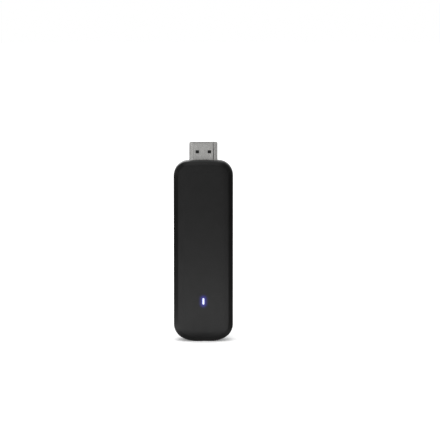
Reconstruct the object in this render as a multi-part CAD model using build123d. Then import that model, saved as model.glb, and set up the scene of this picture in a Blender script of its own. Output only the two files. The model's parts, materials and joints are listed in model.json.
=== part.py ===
from build123d import *
import math
import os

# Streaming stick, in millimetres.
# X is the width, Y runs from the front face (-Y) to the rear face (+Y), Z is up.
# It stands on its bottom end, with the plug on top. The origin is the middle of the base.

# Sides of the board and the case
FRONT = -1
REAR = 1

# Case outline, seen from the front
CASE_WIDTH = 29.3
CASE_HEIGHT = 90.0
TOP_CROWN_RADIUS = 60.0
TOP_CORNER_RADIUS = 7.3
BASE_FLAT_HALF = 3.5
BASE_SHOULDER_RADIUS = 15.0
BASE_CORNER_RADIUS = 7.9

# Case section
CASE_DEPTH = 13.0
WALL = 1.3
REAR_EDGE_RADIUS = 2.6
INNER_FRONT_RADIUS = 2.0
SEAM_CHAMFER = 0.12
OPENING_CHAMFER = 0.2

# Rim of the front face: a soft margin that falls away from the flat middle, then a bevel.
# Each reach is measured across the face, and each angle is the tilt in degrees from the flat.
MARGIN_REACH = 2.2
MARGIN_ANGLE = 11.0
MARGIN_RADIUS = 20.0
BEVEL_REACH = 2.2
BEVEL_ANGLE = 31.0
CREASE_RADIUS = 0.8
BEVEL_EDGE_RADIUS = 1.4

# Lap joint between the covers, with snap ridges on its straight sides
LIP_HEIGHT = 1.0
LIP_THICKNESS = 0.6
LIP_ROOT = 0.5
LIP_GAP = 0.05
RIDGE_HEIGHTS = (42.0, 58.0, 74.0)
RIDGE_LENGTH = 4.0
RIDGE_REACH = 0.18
RIDGE_LOW = 0.4
RIDGE_HIGH = 0.8

# Circuit board
BOARD_THICKNESS = 1.2
BOARD_INSET = 1.9
BOARD_TOP = 82.6
BOARD_GAP = 0.15

# Posts that locate the board
POST_PLACES = ((-10.2, 79.4), (10.2, 79.4), (-9.9, 25.6), (9.9, 25.6))
POST_RADIUS = 1.6
PIN_RADIUS = 0.75
PIN_HOLE_RADIUS = 0.85
PIN_REACH = 1.3
PIN_END_GAP = 0.3

# Cooling stack on each face of the board
SHEET = 0.2
SHIELD_HEIGHT = 1.5
SHIELD_HALF_WIDTH = 10.8
SHIELD_BOTTOM = 36.5
SHIELD_TOP = 76.5
SHIELD_FLANGE = 1.0
SKIRT_HEIGHT = 0.8
SKIRT_SLOT_HEIGHTS = (44.0, 50.5, 57.0, 63.5, 70.0)
SKIRT_SLOT_WIDTH = 0.8
PAD_MARGIN = 0.4
GAP_PAD_SIZE = (18.0, 34.0)
GAP_PAD_THICKNESS = 1.2
SPREADER_SIZE = (23.4, 41.8)
SPREADER_CORNER = 2.0
SPREADER_THICKNESS = 1.0
CHANNEL_SIZE = (18.0, 2.0)
CHANNEL_DEPTH = 0.3
CHANNEL_HEIGHTS = (48.25, 64.75)

# Ribs inside the covers
RIB_THICKNESS = 0.8
RIB_ROOT = 0.25
SPREADER_RIB_HALF = 9.0
SPREADER_RIB_HEIGHTS = (40.0, 56.5, 73.0)
CLAMP_RIB_HALF = 4.4
CLAMP_RIB_HEIGHTS = (84.6, 86.8)

# Type A video plug
PLUG_WIDTH = 13.9
PLUG_DEPTH = 4.45
PLUG_NARROW_WIDTH = 9.9
PLUG_BEVEL_START = 2.475
PLUG_BEND_RADIUS = 0.8
PLUG_REAR_RADIUS = 0.5
PLUG_SHEET = 0.3
PLUG_TIP = 98.55
PLUG_ROOT = 83.0
PLUG_OPENING_GAP = 0.12
TIP_ROLL_LENGTH = 0.6
TIP_ROLL_DEPTH = 0.16
FOLD_SEAM_WIDTH = 0.08
FOLD_SEAM_DEPTH = 0.1
TAB_BOTTOM = 79.6
TAB_FOOT_HEIGHT = 2.2
TAB_DEPTH = 1.3
TAB_STAND_OUT = 0.4
LATCH_SPACING = 5.95
LATCH_SIZE = (1.7, 1.5)
LATCH_BELOW_TIP = 4.65
LATCH_POCKET_MARGIN = 0.2
LATCH_POCKET_FLOOR = 1.5
TONGUE_SLOT_WIDTH = 11.0
TONGUE_SLOT_DEPTH = 1.6
TONGUE_SLOT_FLOOR = 88.4
INSULATOR_BELOW_TIP = 0.4
INSULATOR_BELOW_ROOT = 0.2

# Contacts of the plug
CONTACT_PITCH = 1.0
CONTACT_WIDTH = 0.36
CONTACT_THICKNESS = 0.2
CONTACT_TAIL = 79.4
CONTACT_END = 97.2
CREST_BELOW_END = 1.6
CREST_RISE = 0.15
CREST_RAMP_LONG = 1.0
CREST_RAMP_SHORT = 0.8
FRONT_CONTACTS = 9
REAR_CONTACTS = 10

# Status light and its pipe
LIGHT_HEIGHT = 20.15
LIGHT_LENGTH = 3.2
LIGHT_WIDTH = 1.1
LIGHT_BASE_SIZE = (0.9, 1.7, 0.4)
LIGHT_LENS_SIZE = (0.8, 1.2, 0.35)
PIPE_GAP = 0.03
PIPE_RECESS = 0.04
PIPE_FLANGE_SIZE = (3.4, 5.6)
PIPE_FLANGE_CORNER = 0.6
PIPE_FLANGE_THICKNESS = 0.8
PIPE_STEM_TAPER = 0.4
PIPE_TO_LIGHT = 0.2

# Micro-B power port on the +X side
PORT_HEIGHT = 18.0
PORT_WIDTH = 7.5
PORT_NARROW_WIDTH = 5.4
PORT_DEPTH = 2.45
PORT_BEVEL_START = 1.35
PORT_SHEET = 0.25
PORT_MOUTH = 14.0
PORT_BACK = 8.9
PORT_OPENING_WIDTH = 8.3
PORT_OPENING_DEPTH = 3.2
PORT_OPENING_CORNER = 1.1
PORT_LUG_SPANS = ((9.2, 10.4), (11.2, 12.4))
PORT_LUG_REACH = 1.0
PORT_WINDOW = (-1.0, -0.6)
PORT_WINDOW_HALF = 2.0
PORT_BLOCK_DEPTH = 1.2
TONGUE_HALF_WIDTH = 1.85
TONGUE_SPAN = (-0.63, -0.2)
TONGUE_BELOW_MOUTH = 0.7
PORT_CONTACTS = 5
PORT_CONTACT_PITCH = 0.65
PORT_CONTACT_WIDTH = 0.3
PORT_CONTACT_THICKNESS = 0.12
PORT_CONTACT_TAIL = 1.4
PORT_CONTACT_BELOW_MOUTH = 1.2

# Reset button and its switch on the +X side
BUTTON_HEIGHT = 32.0
BUTTON_LENGTH = 4.4
BUTTON_WIDTH = 1.5
BUTTON_GAP = 0.15
BUTTON_RECESS = 0.1
BUTTON_TRAVEL = 0.25
BUTTON_EDGE = 0.1
BUTTON_FLANGE_SIZE = (2.8, 5.8)
BUTTON_FLANGE_CORNER = 0.5
BUTTON_FLANGE_THICKNESS = 0.6
BUTTON_FLANGE_GAP = 0.1
SWITCH_SPAN = (9.3, 11.8)
SWITCH_HALF_DEPTH = 0.85
SWITCH_HALF_LENGTH = 1.8
PLUNGER_LENGTH = 1.5
PLUNGER_HALF_DEPTH = 0.4
PLUNGER_HALF_LENGTH = 0.8
PLUNGER_GAP = 0.1
PLUNGER_EDGE = 0.08
STRAP_SPAN = (9.5, 11.4)
STRAP_SHEET = 0.15
STRAP_SIDE = 0.1
LUG_SPAN = (9.8, 11.0)
LUG_REACH = 1.1

# Antennas, one on each side of the middle
ANTENNA_SPAN = (1.6, 10.6)
ANTENNA_HEIGHTS = (5.0, 9.8)
ANTENNA_STAND_OFF = 3.0
ANTENNA_SHEET = 0.3
ANTENNA_SLOT_START = 3.4
ANTENNA_SLOT_HEIGHTS = (7.0, 7.8)
ANTENNA_LEG_HEIGHTS = ((5.4, 6.4), (8.4, 9.4))
ANTENNA_FOOT = 1.4

# Lengths that only make a cut run well past what it cuts
PAST = 1.0
FAR = 200.0

# Sizes worked out from the driving ones
HALF_WIDTH = CASE_WIDTH / 2
FRONT_FACE = -CASE_DEPTH / 2
REAR_FACE = CASE_DEPTH / 2
FRONT_INNER = FRONT_FACE + WALL
REAR_INNER = REAR_FACE - WALL
SIDE_INNER = HALF_WIDTH - WALL
MARGIN_FALL = MARGIN_REACH * math.tan(math.radians(MARGIN_ANGLE))
BEVEL_SLOPE = math.tan(math.radians(BEVEL_ANGLE))
BEVEL_FALL = MARGIN_FALL + BEVEL_REACH * BEVEL_SLOPE
BOARD_FACE = BOARD_THICKNESS / 2
STACK_MIDDLE = (SHIELD_BOTTOM + SHIELD_TOP) / 2
LID_TOP = SHIELD_HEIGHT + SHEET
GAP_PAD_TOP = LID_TOP + GAP_PAD_THICKNESS
SPREADER_TOP = GAP_PAD_TOP + SPREADER_THICKNESS
LATCH_HEIGHT = PLUG_TIP - LATCH_BELOW_TIP
LATCH_PLACES = (-LATCH_SPACING / 2, LATCH_SPACING / 2)
FLANGE_OUTER = SIDE_INNER - BUTTON_FLANGE_GAP
FLANGE_INNER = FLANGE_OUTER - BUTTON_FLANGE_THICKNESS
PLUNGER_BACK = FLANGE_INNER - PLUNGER_LENGTH
PLUNGER_POCKET_FLOOR = PLUNGER_BACK - BUTTON_TRAVEL - BUTTON_GAP


def grid(first, step, columns, rows):
    """Places in columns and rows, counted from the first one."""
    return [
        (first[0] + step[0] * column, first[1] + step[1] * row)
        for column in range(columns)
        for row in range(rows)
    ]


# Components: face of the board, centres as (x, z), and width, height and thickness
COMPONENTS = {
    "processor": (FRONT, [(-2.6, 53.6)], (14.0, 14.0, 1.0)),
    "memory_chips": (FRONT, [(-4.6, 69.2), (4.6, 69.2)], (7.5, 12.0, 1.0)),
    "power_management_chip": (FRONT, [(7.2, 44.0)], (5.0, 5.0, 0.8)),
    "power_inductors": (FRONT, grid((-8.2, 40.2), (3.3, 0), 3, 1), (2.5, 2.0, 1.2)),
    "main_crystal": (FRONT, [(2.4, 43.2)], (3.2, 2.5, 0.8)),
    "front_capacitors": (
        FRONT,
        grid((6.2, 49.0), (2.0, 1.4), 2, 8) + grid((-8.0, 61.9), (2.0, 0), 9, 1),
        (1.0, 0.5, 0.5),
    ),
    "surge_protection_chips": (FRONT, grid((-4.8, 78.0), (3.2, 0), 4, 1), (2.5, 1.0, 0.5)),
    "light_resistors": (FRONT, grid((-2.4, 18.6), (0, 2.0), 1, 2), (1.0, 0.5, 0.4)),
    "flash_memory": (REAR, [(-4.0, 68.6)], (11.5, 13.0, 1.0)),
    "wireless_chip": (REAR, [(-5.2, 48.0)], (7.0, 7.0, 0.8)),
    "radio_front_ends": (REAR, [(-7.2, 40.2), (-2.6, 40.2)], (3.0, 3.0, 0.7)),
    "radio_crystal": (REAR, [(1.2, 48.0)], (2.5, 2.0, 0.6)),
    "rear_capacitors": (
        REAR,
        grid((2.6, 54.0), (1.6, 1.5), 5, 4) + grid((5.0, 64.0), (3.0, 1.4), 2, 8),
        (1.0, 0.5, 0.5),
    ),
    "input_inductor": (REAR, [(4.2, 28.6)], (4.0, 4.0, 1.8)),
    "input_converter_chip": (REAR, [(0.0, 28.6)], (3.0, 3.0, 0.8)),
    "input_capacitors": (REAR, grid((-3.6, 27.4), (0, 2.6), 1, 2), (3.2, 1.6, 1.2)),
}

# Thermal pads between a chip and the lid over it
CHIP_PADS = {
    "processor_pad": "processor",
    "memory_pads": "memory_chips",
    "flash_pad": "flash_memory",
    "wireless_pad": "wireless_chip",
}
CHIP_EDGE = 0.06


def block(x, y, z):
    """Box between a low and a high value on each axis."""
    box = Box(x[1] - x[0], y[1] - y[0], z[1] - z[0])
    return Pos((x[0] + x[1]) / 2, (y[0] + y[1]) / 2, (z[0] + z[1]) / 2) * box


def around(middle, half):
    """Low and high value at the same distance from a middle."""
    return (middle - half, middle + half)


def mirrored(sign, span):
    """A span, or its mirror image when sign is -1, with the low value first."""
    return tuple(sorted((sign * span[0], sign * span[1])))


def along_y(sketch, low, high):
    """Solid from a sketch of (x, z) values between two Y values."""
    return extrude(Plane.XZ.offset(-high) * sketch, amount=high - low)


def along_x(sketch, low, high):
    """Solid from a sketch of (y, z) values between two X values."""
    return extrude(Plane.YZ.offset(low) * sketch, amount=high - low)


def along_z(sketch, low, high):
    """Solid from a sketch of (x, y) values between two Z values."""
    return extrude(Plane.XY.offset(low) * sketch, amount=high - low)


def polygon(points):
    """Flat face with straight sides."""
    return make_face(Polyline(*points, close=True))


def group(shapes):
    """Several separate solids as one node."""
    return Compound([solid for shape in shapes for solid in shape.solids()])


def on_board(side, x, z, near, far):
    """Box on one face of the board, near and far being distances out from that face."""
    return block(x, mirrored(side, (BOARD_FACE + near, BOARD_FACE + far)), z)


def centred_on_board(side, centre, size, near, far):
    """Box on one face of the board, from its centre and its width and height."""
    return on_board(side, around(centre[0], size[0] / 2), around(centre[1], size[1] / 2), near, far)


def chip(side, centre, size, near=0.0):
    """Component body on one face of the board, with its outer edges broken."""
    body = centred_on_board(side, centre, size[:2], near, near + size[2])
    outer_face = body.faces().sort_by(Axis.Y)[0 if side == FRONT else -1]
    return chamfer(outer_face.edges(), CHIP_EDGE)


def arc(centre, radius, start, end):
    """Arc about a centre between two angles in degrees."""
    return CenterArc((centre[0], centre[1], 0), radius, start, end - start)


def case_outline(inset):
    """Front outline of the case, moved inward by inset: a crowned top and a short flat base."""
    top_centre = (0, CASE_HEIGHT - TOP_CROWN_RADIUS)
    top_across = HALF_WIDTH - TOP_CORNER_RADIUS
    top_reach = TOP_CROWN_RADIUS - TOP_CORNER_RADIUS
    top_angle = math.degrees(math.asin(top_across / top_reach))
    top_corner = top_centre[1] + math.sqrt(top_reach**2 - top_across**2)
    base_corner_x = HALF_WIDTH - BASE_CORNER_RADIUS
    base_across = base_corner_x - BASE_FLAT_HALF
    base_reach = BASE_SHOULDER_RADIUS - BASE_CORNER_RADIUS
    base_angle = math.degrees(math.asin(base_across / base_reach))
    base_corner = BASE_SHOULDER_RADIUS - math.sqrt(base_reach**2 - base_across**2)
    side = HALF_WIDTH - inset
    crown = TOP_CROWN_RADIUS - inset
    corner = TOP_CORNER_RADIUS - inset
    shoulder = BASE_SHOULDER_RADIUS - inset
    base = BASE_CORNER_RADIUS - inset
    edges = [
        Line((-BASE_FLAT_HALF, inset), (BASE_FLAT_HALF, inset)),
        arc((BASE_FLAT_HALF, BASE_SHOULDER_RADIUS), shoulder, 270, 270 + base_angle),
        arc((base_corner_x, base_corner), base, 270 + base_angle, 360),
        Line((side, base_corner), (side, top_corner)),
        arc((top_across, top_corner), corner, 0, 90 - top_angle),
        arc(top_centre, crown, 90 - top_angle, 90 + top_angle),
        arc((-top_across, top_corner), corner, 90 + top_angle, 180),
        Line((-side, top_corner), (-side, base_corner)),
        arc((-base_corner_x, base_corner), base, 180, 270 - base_angle),
        arc((-BASE_FLAT_HALF, BASE_SHOULDER_RADIUS), shoulder, 270 - base_angle, 270),
    ]
    return make_face(edges)


def edges_at_y(shape, y):
    """Edges that lie wholly in one plane across Y."""
    return shape.edges().filter_by_position(Axis.Y, y - 0.001, y + 0.001)


def bevelled_points(half_width, narrow_half, depth, bevel_start, inset):
    """Outline moved inward by inset: a wide side at v = 0, bevelled in to a narrow side at v = depth."""
    run = half_width - narrow_half
    rise = depth - bevel_start
    slant = math.hypot(run, rise)
    wide = half_width - inset
    narrow = narrow_half - inset * (slant - run) / rise
    bevel = bevel_start - inset * (slant - rise) / run
    low = inset
    high = depth - inset
    return [(-wide, low), (wide, low), (wide, bevel), (narrow, high), (-narrow, high), (-wide, bevel)]


def plug_profile(inset):
    """Section of the plug in (x, y), with its wide side to the rear."""
    outline = bevelled_points(PLUG_WIDTH / 2, PLUG_NARROW_WIDTH / 2, PLUG_DEPTH, PLUG_BEVEL_START, inset)
    rear = PLUG_DEPTH / 2
    sketch = polygon([(u, rear - v) for u, v in outline])
    middle = rear / 2
    bends = sketch.vertices().filter_by(lambda corner: corner.Y < middle)
    sketch = fillet(bends, PLUG_BEND_RADIUS - inset)
    rear_corners = sketch.vertices().filter_by(lambda corner: corner.Y > middle)
    return fillet(rear_corners, PLUG_REAR_RADIUS - inset)


def port_profile(inset):
    """Section of the power port in (y, z), with its wide side to the front."""
    outline = bevelled_points(PORT_WIDTH / 2, PORT_NARROW_WIDTH / 2, PORT_DEPTH, PORT_BEVEL_START, inset)
    return Pos(0, PORT_HEIGHT) * polygon([(v - PORT_DEPTH / 2, u) for u, v in outline])


def light_slot(inset):
    """Outline of the light slot in (x, z), moved inward by inset."""
    slot = SlotOverall(LIGHT_LENGTH - 2 * inset, LIGHT_WIDTH - 2 * inset, rotation=90)
    return Pos(0, LIGHT_HEIGHT) * slot


def case_body():
    """Outside of the case: the front face falls away softly to a bevel, and the rear edge is round."""
    body = along_y(case_outline(0), FRONT_FACE, REAR_FACE)
    body = fillet(edges_at_y(body, REAR_FACE), REAR_EDGE_RADIUS)
    overlap = MARGIN_FALL / BEVEL_SLOPE
    front = body.faces().sort_by(Axis.Y)[0]
    body = chamfer(front.edges(), BEVEL_REACH + overlap, BEVEL_FALL, reference=front)
    body = fillet(edges_at_y(body, FRONT_FACE + BEVEL_FALL), BEVEL_EDGE_RADIUS)
    front = body.faces().sort_by(Axis.Y)[0]
    slant = math.hypot(overlap, MARGIN_FALL)
    body = chamfer(front.edges(), MARGIN_REACH - overlap, slant, reference=front)
    body = fillet(edges_at_y(body, FRONT_FACE + MARGIN_FALL), CREASE_RADIUS)
    return fillet(edges_at_y(body, FRONT_FACE), MARGIN_RADIUS)


def case_half(side):
    """Hollow half of the case, front or rear, with a small bevel along its outer parting edge."""
    outer = case_body()
    cavity = along_y(case_outline(WALL), FRONT_INNER, REAR_INNER)
    cavity = fillet(edges_at_y(cavity, FRONT_INNER), INNER_FRONT_RADIUS)
    cavity = fillet(edges_at_y(cavity, REAR_INNER), REAR_EDGE_RADIUS - WALL)
    half = (outer - cavity) & block((-FAR, FAR), mirrored(side, (0, FAR)), (-FAR, FAR))
    parting_face = half.faces().filter_by(Plane.XZ).sort_by(lambda face: abs(face.center().Y))[0]
    return chamfer(parting_face.outer_wire().edges(), SEAM_CHAMFER)


def side_opening(sketch):
    """Cut through the +X wall, with its outer rim flared."""
    flare_start = HALF_WIDTH - OPENING_CHAMFER
    flare = extrude(Plane.YZ.offset(flare_start) * sketch, amount=2 * OPENING_CHAMFER, taper=-45)
    return along_x(sketch, SIDE_INNER - PAST, HALF_WIDTH + PAST) + flare


def case_openings():
    """Spaces cut through the walls for the plug, the power port and the reset button."""
    plug = along_z(plug_profile(-PLUG_OPENING_GAP), CASE_HEIGHT - 4 * PAST, CASE_HEIGHT + PAST)
    port_rim = RectangleRounded(PORT_OPENING_DEPTH, PORT_OPENING_WIDTH, PORT_OPENING_CORNER)
    port = side_opening(Pos(0, PORT_HEIGHT) * port_rim)
    button_rim = SlotOverall(BUTTON_LENGTH + 2 * BUTTON_GAP, BUTTON_WIDTH + 2 * BUTTON_GAP, rotation=90)
    button = side_opening(Pos(0, BUTTON_HEIGHT) * button_rim)
    return [plug, port, button]


def ring(outer_inset, inner_inset, low, high):
    """Band that follows the case outline, between two insets and two Y values."""
    return along_y(case_outline(outer_inset) - case_outline(inner_inset), low, high)


def snap_ridges(extra):
    """Ridges on the straight sides of the lip, or the grooves for them when extra is above 0."""
    lip_face = SIDE_INNER + LIP_THICKNESS
    x = (lip_face - RIDGE_REACH, lip_face + RIDGE_REACH + extra)
    y = (RIDGE_LOW - extra, RIDGE_HIGH + extra)
    half = RIDGE_LENGTH / 2 + extra
    return [block(mirrored(sign, x), y, around(z, half)) for sign in (-1, 1) for z in RIDGE_HEIGHTS]


def cover_ribs(side):
    """Ribs inside a cover: low ones behind the heat spreader, tall ones on the plug's root."""
    wall = REAR_INNER + RIB_ROOT
    spreader_y = mirrored(side, (BOARD_FACE + SPREADER_TOP, wall))
    clamp_y = mirrored(side, (PLUG_DEPTH / 2, wall))
    half = RIB_THICKNESS / 2
    spreader_x = (-SPREADER_RIB_HALF, SPREADER_RIB_HALF)
    clamp_x = (-CLAMP_RIB_HALF, CLAMP_RIB_HALF)
    ribs = [block(spreader_x, spreader_y, around(z, half)) for z in SPREADER_RIB_HEIGHTS]
    return ribs + [block(clamp_x, clamp_y, around(z, half)) for z in CLAMP_RIB_HEIGHTS]


def front_cover():
    """Front cover with the light slot, the lip, its snap ridges and the board bosses."""
    cover = case_half(FRONT)
    cover += ring(WALL - LIP_THICKNESS, WALL, -LIP_ROOT, LIP_HEIGHT)
    for ridge in snap_ridges(0):
        cover += ridge
    for place in POST_PLACES:
        cover += along_y(Pos(*place) * Circle(POST_RADIUS), FRONT_INNER - WALL / 2, -BOARD_FACE)
        pin_end = -BOARD_FACE - PIN_REACH - PIN_END_GAP
        cover -= along_y(Pos(*place) * Circle(PIN_HOLE_RADIUS), pin_end, -BOARD_FACE)
    for rib in cover_ribs(FRONT):
        cover += rib
    cover -= along_y(light_slot(0), FRONT_FACE - PAST, FRONT_INNER + PAST)
    for opening in case_openings():
        cover -= opening
    return cover


def rear_cover():
    """Rear cover with the recess for the lip, the ridge grooves and the locating pins."""
    cover = case_half(REAR)
    recess_inset = WALL - LIP_THICKNESS - LIP_GAP
    cover -= ring(recess_inset, WALL + PAST, -PAST, LIP_HEIGHT + LIP_GAP)
    for groove in snap_ridges(LIP_GAP):
        cover -= groove
    for place in POST_PLACES:
        cover += along_y(Pos(*place) * Circle(POST_RADIUS), BOARD_FACE, REAR_INNER + WALL / 2)
        cover += along_y(Pos(*place) * Circle(PIN_RADIUS), -BOARD_FACE - PIN_REACH, BOARD_FACE)
    for rib in cover_ribs(REAR):
        cover += rib
    for opening in case_openings():
        cover -= opening
    return cover


def light_pipe():
    """Clear pipe from the light on the board to the slot in the front face."""
    flange_back = FRONT_INNER + PIPE_FLANGE_THICKNESS
    light_top = BOARD_FACE + LIGHT_BASE_SIZE[2] + LIGHT_LENS_SIZE[2]
    flange = Pos(0, LIGHT_HEIGHT) * RectangleRounded(*PIPE_FLANGE_SIZE, PIPE_FLANGE_CORNER)
    stem = Pos(0, LIGHT_HEIGHT) * SlotOverall(LIGHT_LENGTH - PIPE_STEM_TAPER, LIGHT_WIDTH, rotation=90)
    pipe = along_y(light_slot(PIPE_GAP), FRONT_FACE + PIPE_RECESS, flange_back)
    pipe += along_y(flange, FRONT_INNER, flange_back)
    return pipe + along_y(stem, FRONT_INNER, -light_top - PIPE_TO_LIGHT)


def status_light():
    """Surface-mounted light: a base with a lens on it."""
    place = (0, LIGHT_HEIGHT)
    return chip(FRONT, place, LIGHT_BASE_SIZE) + chip(FRONT, place, LIGHT_LENS_SIZE, near=LIGHT_BASE_SIZE[2])


def circuit_board():
    """Main board with notches for the port, the switch and the plug's tabs, and pin holes."""
    board = along_y(case_outline(BOARD_INSET), -BOARD_FACE, BOARD_FACE)
    through = (-FAR, FAR)
    port_half = PORT_WIDTH / 2 + BOARD_GAP
    switch_half = SWITCH_HALF_LENGTH + BOARD_GAP
    flange_half = BUTTON_FLANGE_SIZE[1] / 2 + 2 * BOARD_GAP
    flange_start = FLANGE_INNER - BUTTON_TRAVEL - 2 * BOARD_GAP
    cuts = [
        block(through, through, (BOARD_TOP, FAR)),
        block((PORT_BACK - BOARD_GAP, FAR), through, around(PORT_HEIGHT, port_half)),
        block((SWITCH_SPAN[0] - BOARD_GAP, FAR), through, around(BUTTON_HEIGHT, switch_half)),
        block((flange_start, FAR), through, around(BUTTON_HEIGHT, flange_half)),
    ]
    tab = (PLUG_WIDTH / 2 - PLUG_SHEET - BOARD_GAP, PLUG_WIDTH / 2 + BOARD_GAP)
    for sign in (-1, 1):
        cuts.append(block(mirrored(sign, tab), through, (TAB_BOTTOM - BOARD_GAP, FAR)))
    for place in POST_PLACES:
        cuts.append(along_y(Pos(*place) * Circle(PIN_HOLE_RADIUS), -PAST, PAST))
    for cut in cuts:
        board -= cut
    return board


def plug_shell():
    """Folded metal tube of the plug, with latch holes, a rolled tip and two board tabs."""
    outer = along_z(plug_profile(0), PLUG_ROOT, PLUG_TIP)
    tip_face = outer.faces().sort_by(Axis.Z)[-1]
    outer = chamfer(tip_face.edges(), TIP_ROLL_DEPTH, TIP_ROLL_LENGTH, reference=tip_face)
    shell = outer - along_z(plug_profile(PLUG_SHEET), PLUG_ROOT - PAST, PLUG_TIP + PAST)
    latch_z = around(LATCH_HEIGHT, LATCH_SIZE[1] / 2)
    for x in LATCH_PLACES:
        shell -= block(around(x, LATCH_SIZE[0] / 2), (-FAR, FAR), latch_z)
    seam_y = (PLUG_DEPTH / 2 - FOLD_SEAM_DEPTH, FAR)
    shell -= block(around(0, FOLD_SEAM_WIDTH / 2), seam_y, (PLUG_ROOT - PAST, FAR))
    foot_top = TAB_BOTTOM + TAB_FOOT_HEIGHT
    for sign in (-1, 1):
        x = mirrored(sign, (PLUG_WIDTH / 2 - PLUG_SHEET, PLUG_WIDTH / 2))
        shell += block(x, (0, TAB_DEPTH), (foot_top - TAB_STAND_OUT, PLUG_ROOT + TAB_STAND_OUT))
        shell += block(x, (-BOARD_FACE - TAB_STAND_OUT, TAB_DEPTH), (TAB_BOTTOM, foot_top))
    return shell


def plug_contacts(side, count):
    """Row of flat contacts, each with a raised crest near its end and a tail on the board."""
    outer = side * TONGUE_SLOT_DEPTH / 2
    inner = side * (TONGUE_SLOT_DEPTH / 2 - CONTACT_THICKNESS)
    crest_z = CONTACT_END - CREST_BELOW_END
    outline = [
        (outer, CONTACT_TAIL),
        (inner, CONTACT_TAIL),
        (inner, crest_z - CREST_RAMP_LONG),
        (inner - side * CREST_RISE, crest_z),
        (inner, crest_z + CREST_RAMP_SHORT),
        (inner, CONTACT_END),
        (outer, CONTACT_END),
    ]
    first = -(count - 1) / 2 * CONTACT_PITCH
    middles = [first + index * CONTACT_PITCH for index in range(count)]
    return [along_x(polygon(outline), *around(x, CONTACT_WIDTH / 2)) for x in middles]


def plug_insulator(contacts):
    """Moulding inside the plug: a solid root and a sleeve round the slot for the tongue."""
    body = along_z(
        plug_profile(PLUG_SHEET), PLUG_ROOT - INSULATOR_BELOW_ROOT, PLUG_TIP - INSULATOR_BELOW_TIP
    )
    slot_x = around(0, TONGUE_SLOT_WIDTH / 2)
    slot_y = around(0, TONGUE_SLOT_DEPTH / 2)
    body -= block(slot_x, slot_y, (TONGUE_SLOT_FLOOR, FAR))
    half_width = LATCH_SIZE[0] / 2 + LATCH_POCKET_MARGIN
    pocket_z = around(LATCH_HEIGHT, LATCH_SIZE[1] / 2 + LATCH_POCKET_MARGIN)
    for x in LATCH_PLACES:
        for side in (FRONT, REAR):
            body -= block(around(x, half_width), mirrored(side, (LATCH_POCKET_FLOOR, FAR)), pocket_z)
    for contact in contacts:
        body -= contact
    return body


def shield_spans(inset):
    """Width and height spans of the shield, moved inward by inset."""
    return (
        (-SHIELD_HALF_WIDTH + inset, SHIELD_HALF_WIDTH - inset),
        (SHIELD_BOTTOM + inset, SHIELD_TOP - inset),
    )


def shield_frame(side):
    """Soldered wall of the shield with a flange turned inward at its top."""
    frame = on_board(side, *shield_spans(0), 0, SHIELD_HEIGHT)
    frame -= on_board(side, *shield_spans(SHEET), -PAST, SHIELD_HEIGHT - SHEET)
    return frame - on_board(side, *shield_spans(SHIELD_FLANGE), 0, SHIELD_HEIGHT + PAST)


def shield_lid(side):
    """Pressed lid with skirts that grip the outside of the frame, and slots between them."""
    lid = on_board(side, *shield_spans(-SHEET), SHIELD_HEIGHT - SKIRT_HEIGHT, LID_TOP)
    lid -= on_board(side, *shield_spans(0), 0, SHIELD_HEIGHT)
    for z in SKIRT_SLOT_HEIGHTS:
        lid -= on_board(side, (-FAR, FAR), around(z, SKIRT_SLOT_WIDTH / 2), 0, SHIELD_HEIGHT)
    return lid


def chip_pads(component):
    """Thermal pads that fill the height between chips and the lid over them."""
    side, places, size = COMPONENTS[component]
    pad_size = (size[0] - PAD_MARGIN, size[1] - PAD_MARGIN)
    return group([centred_on_board(side, place, pad_size, size[2], SHIELD_HEIGHT) for place in places])


def heat_spreader(side):
    """Aluminium plate with round corners and shallow pressed channels across it."""
    sheet = Pos(0, STACK_MIDDLE) * RectangleRounded(*SPREADER_SIZE, SPREADER_CORNER)
    plate = along_y(sheet, *mirrored(side, (BOARD_FACE + GAP_PAD_TOP, BOARD_FACE + SPREADER_TOP)))
    for z in CHANNEL_HEIGHTS:
        channel_floor = SPREADER_TOP - CHANNEL_DEPTH
        plate -= centred_on_board(side, (0, z), CHANNEL_SIZE, channel_floor, SPREADER_TOP + PAST)
    return plate


def port_shell():
    """Formed metal shell of the power port, closed at the back, with four board lugs."""
    shell = along_x(port_profile(0), PORT_BACK, PORT_MOUTH)
    shell -= along_x(port_profile(PORT_SHEET), PORT_BACK + PORT_SHEET, PORT_MOUTH + PAST)
    lug_z = (PORT_WIDTH / 2 - PORT_SHEET / 2, PORT_WIDTH / 2 + PORT_LUG_REACH)
    for sign in (-1, 1):
        low, high = mirrored(sign, lug_z)
        for x in PORT_LUG_SPANS:
            lug_y = (-BOARD_FACE - PORT_SHEET, -BOARD_FACE)
            shell += block(x, lug_y, (PORT_HEIGHT + low, PORT_HEIGHT + high))
    back = (PORT_BACK - PAST, PORT_BACK + 2 * PORT_SHEET)
    return shell - block(back, PORT_WINDOW, around(PORT_HEIGHT, PORT_WINDOW_HALF))


def port_contacts():
    """Flat contacts along the tongue, with tails that reach back over the board."""
    x = (PORT_BACK - PORT_CONTACT_TAIL, PORT_MOUTH - PORT_CONTACT_BELOW_MOUTH)
    y = (TONGUE_SPAN[0] - PORT_CONTACT_THICKNESS, TONGUE_SPAN[0])
    first = PORT_HEIGHT - (PORT_CONTACTS - 1) / 2 * PORT_CONTACT_PITCH
    middles = [first + index * PORT_CONTACT_PITCH for index in range(PORT_CONTACTS)]
    return [block(x, y, around(z, PORT_CONTACT_WIDTH / 2)) for z in middles]


def port_tongue(contacts):
    """Moulding that fills the back of the port and carries the tongue."""
    back = PORT_BACK + PORT_SHEET
    body = along_x(port_profile(PORT_SHEET), back, PORT_BACK + PORT_BLOCK_DEPTH)
    tongue_x = (back, PORT_MOUTH - TONGUE_BELOW_MOUTH)
    body += block(tongue_x, TONGUE_SPAN, around(PORT_HEIGHT, TONGUE_HALF_WIDTH))
    for contact in contacts:
        body -= contact
    return body


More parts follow.
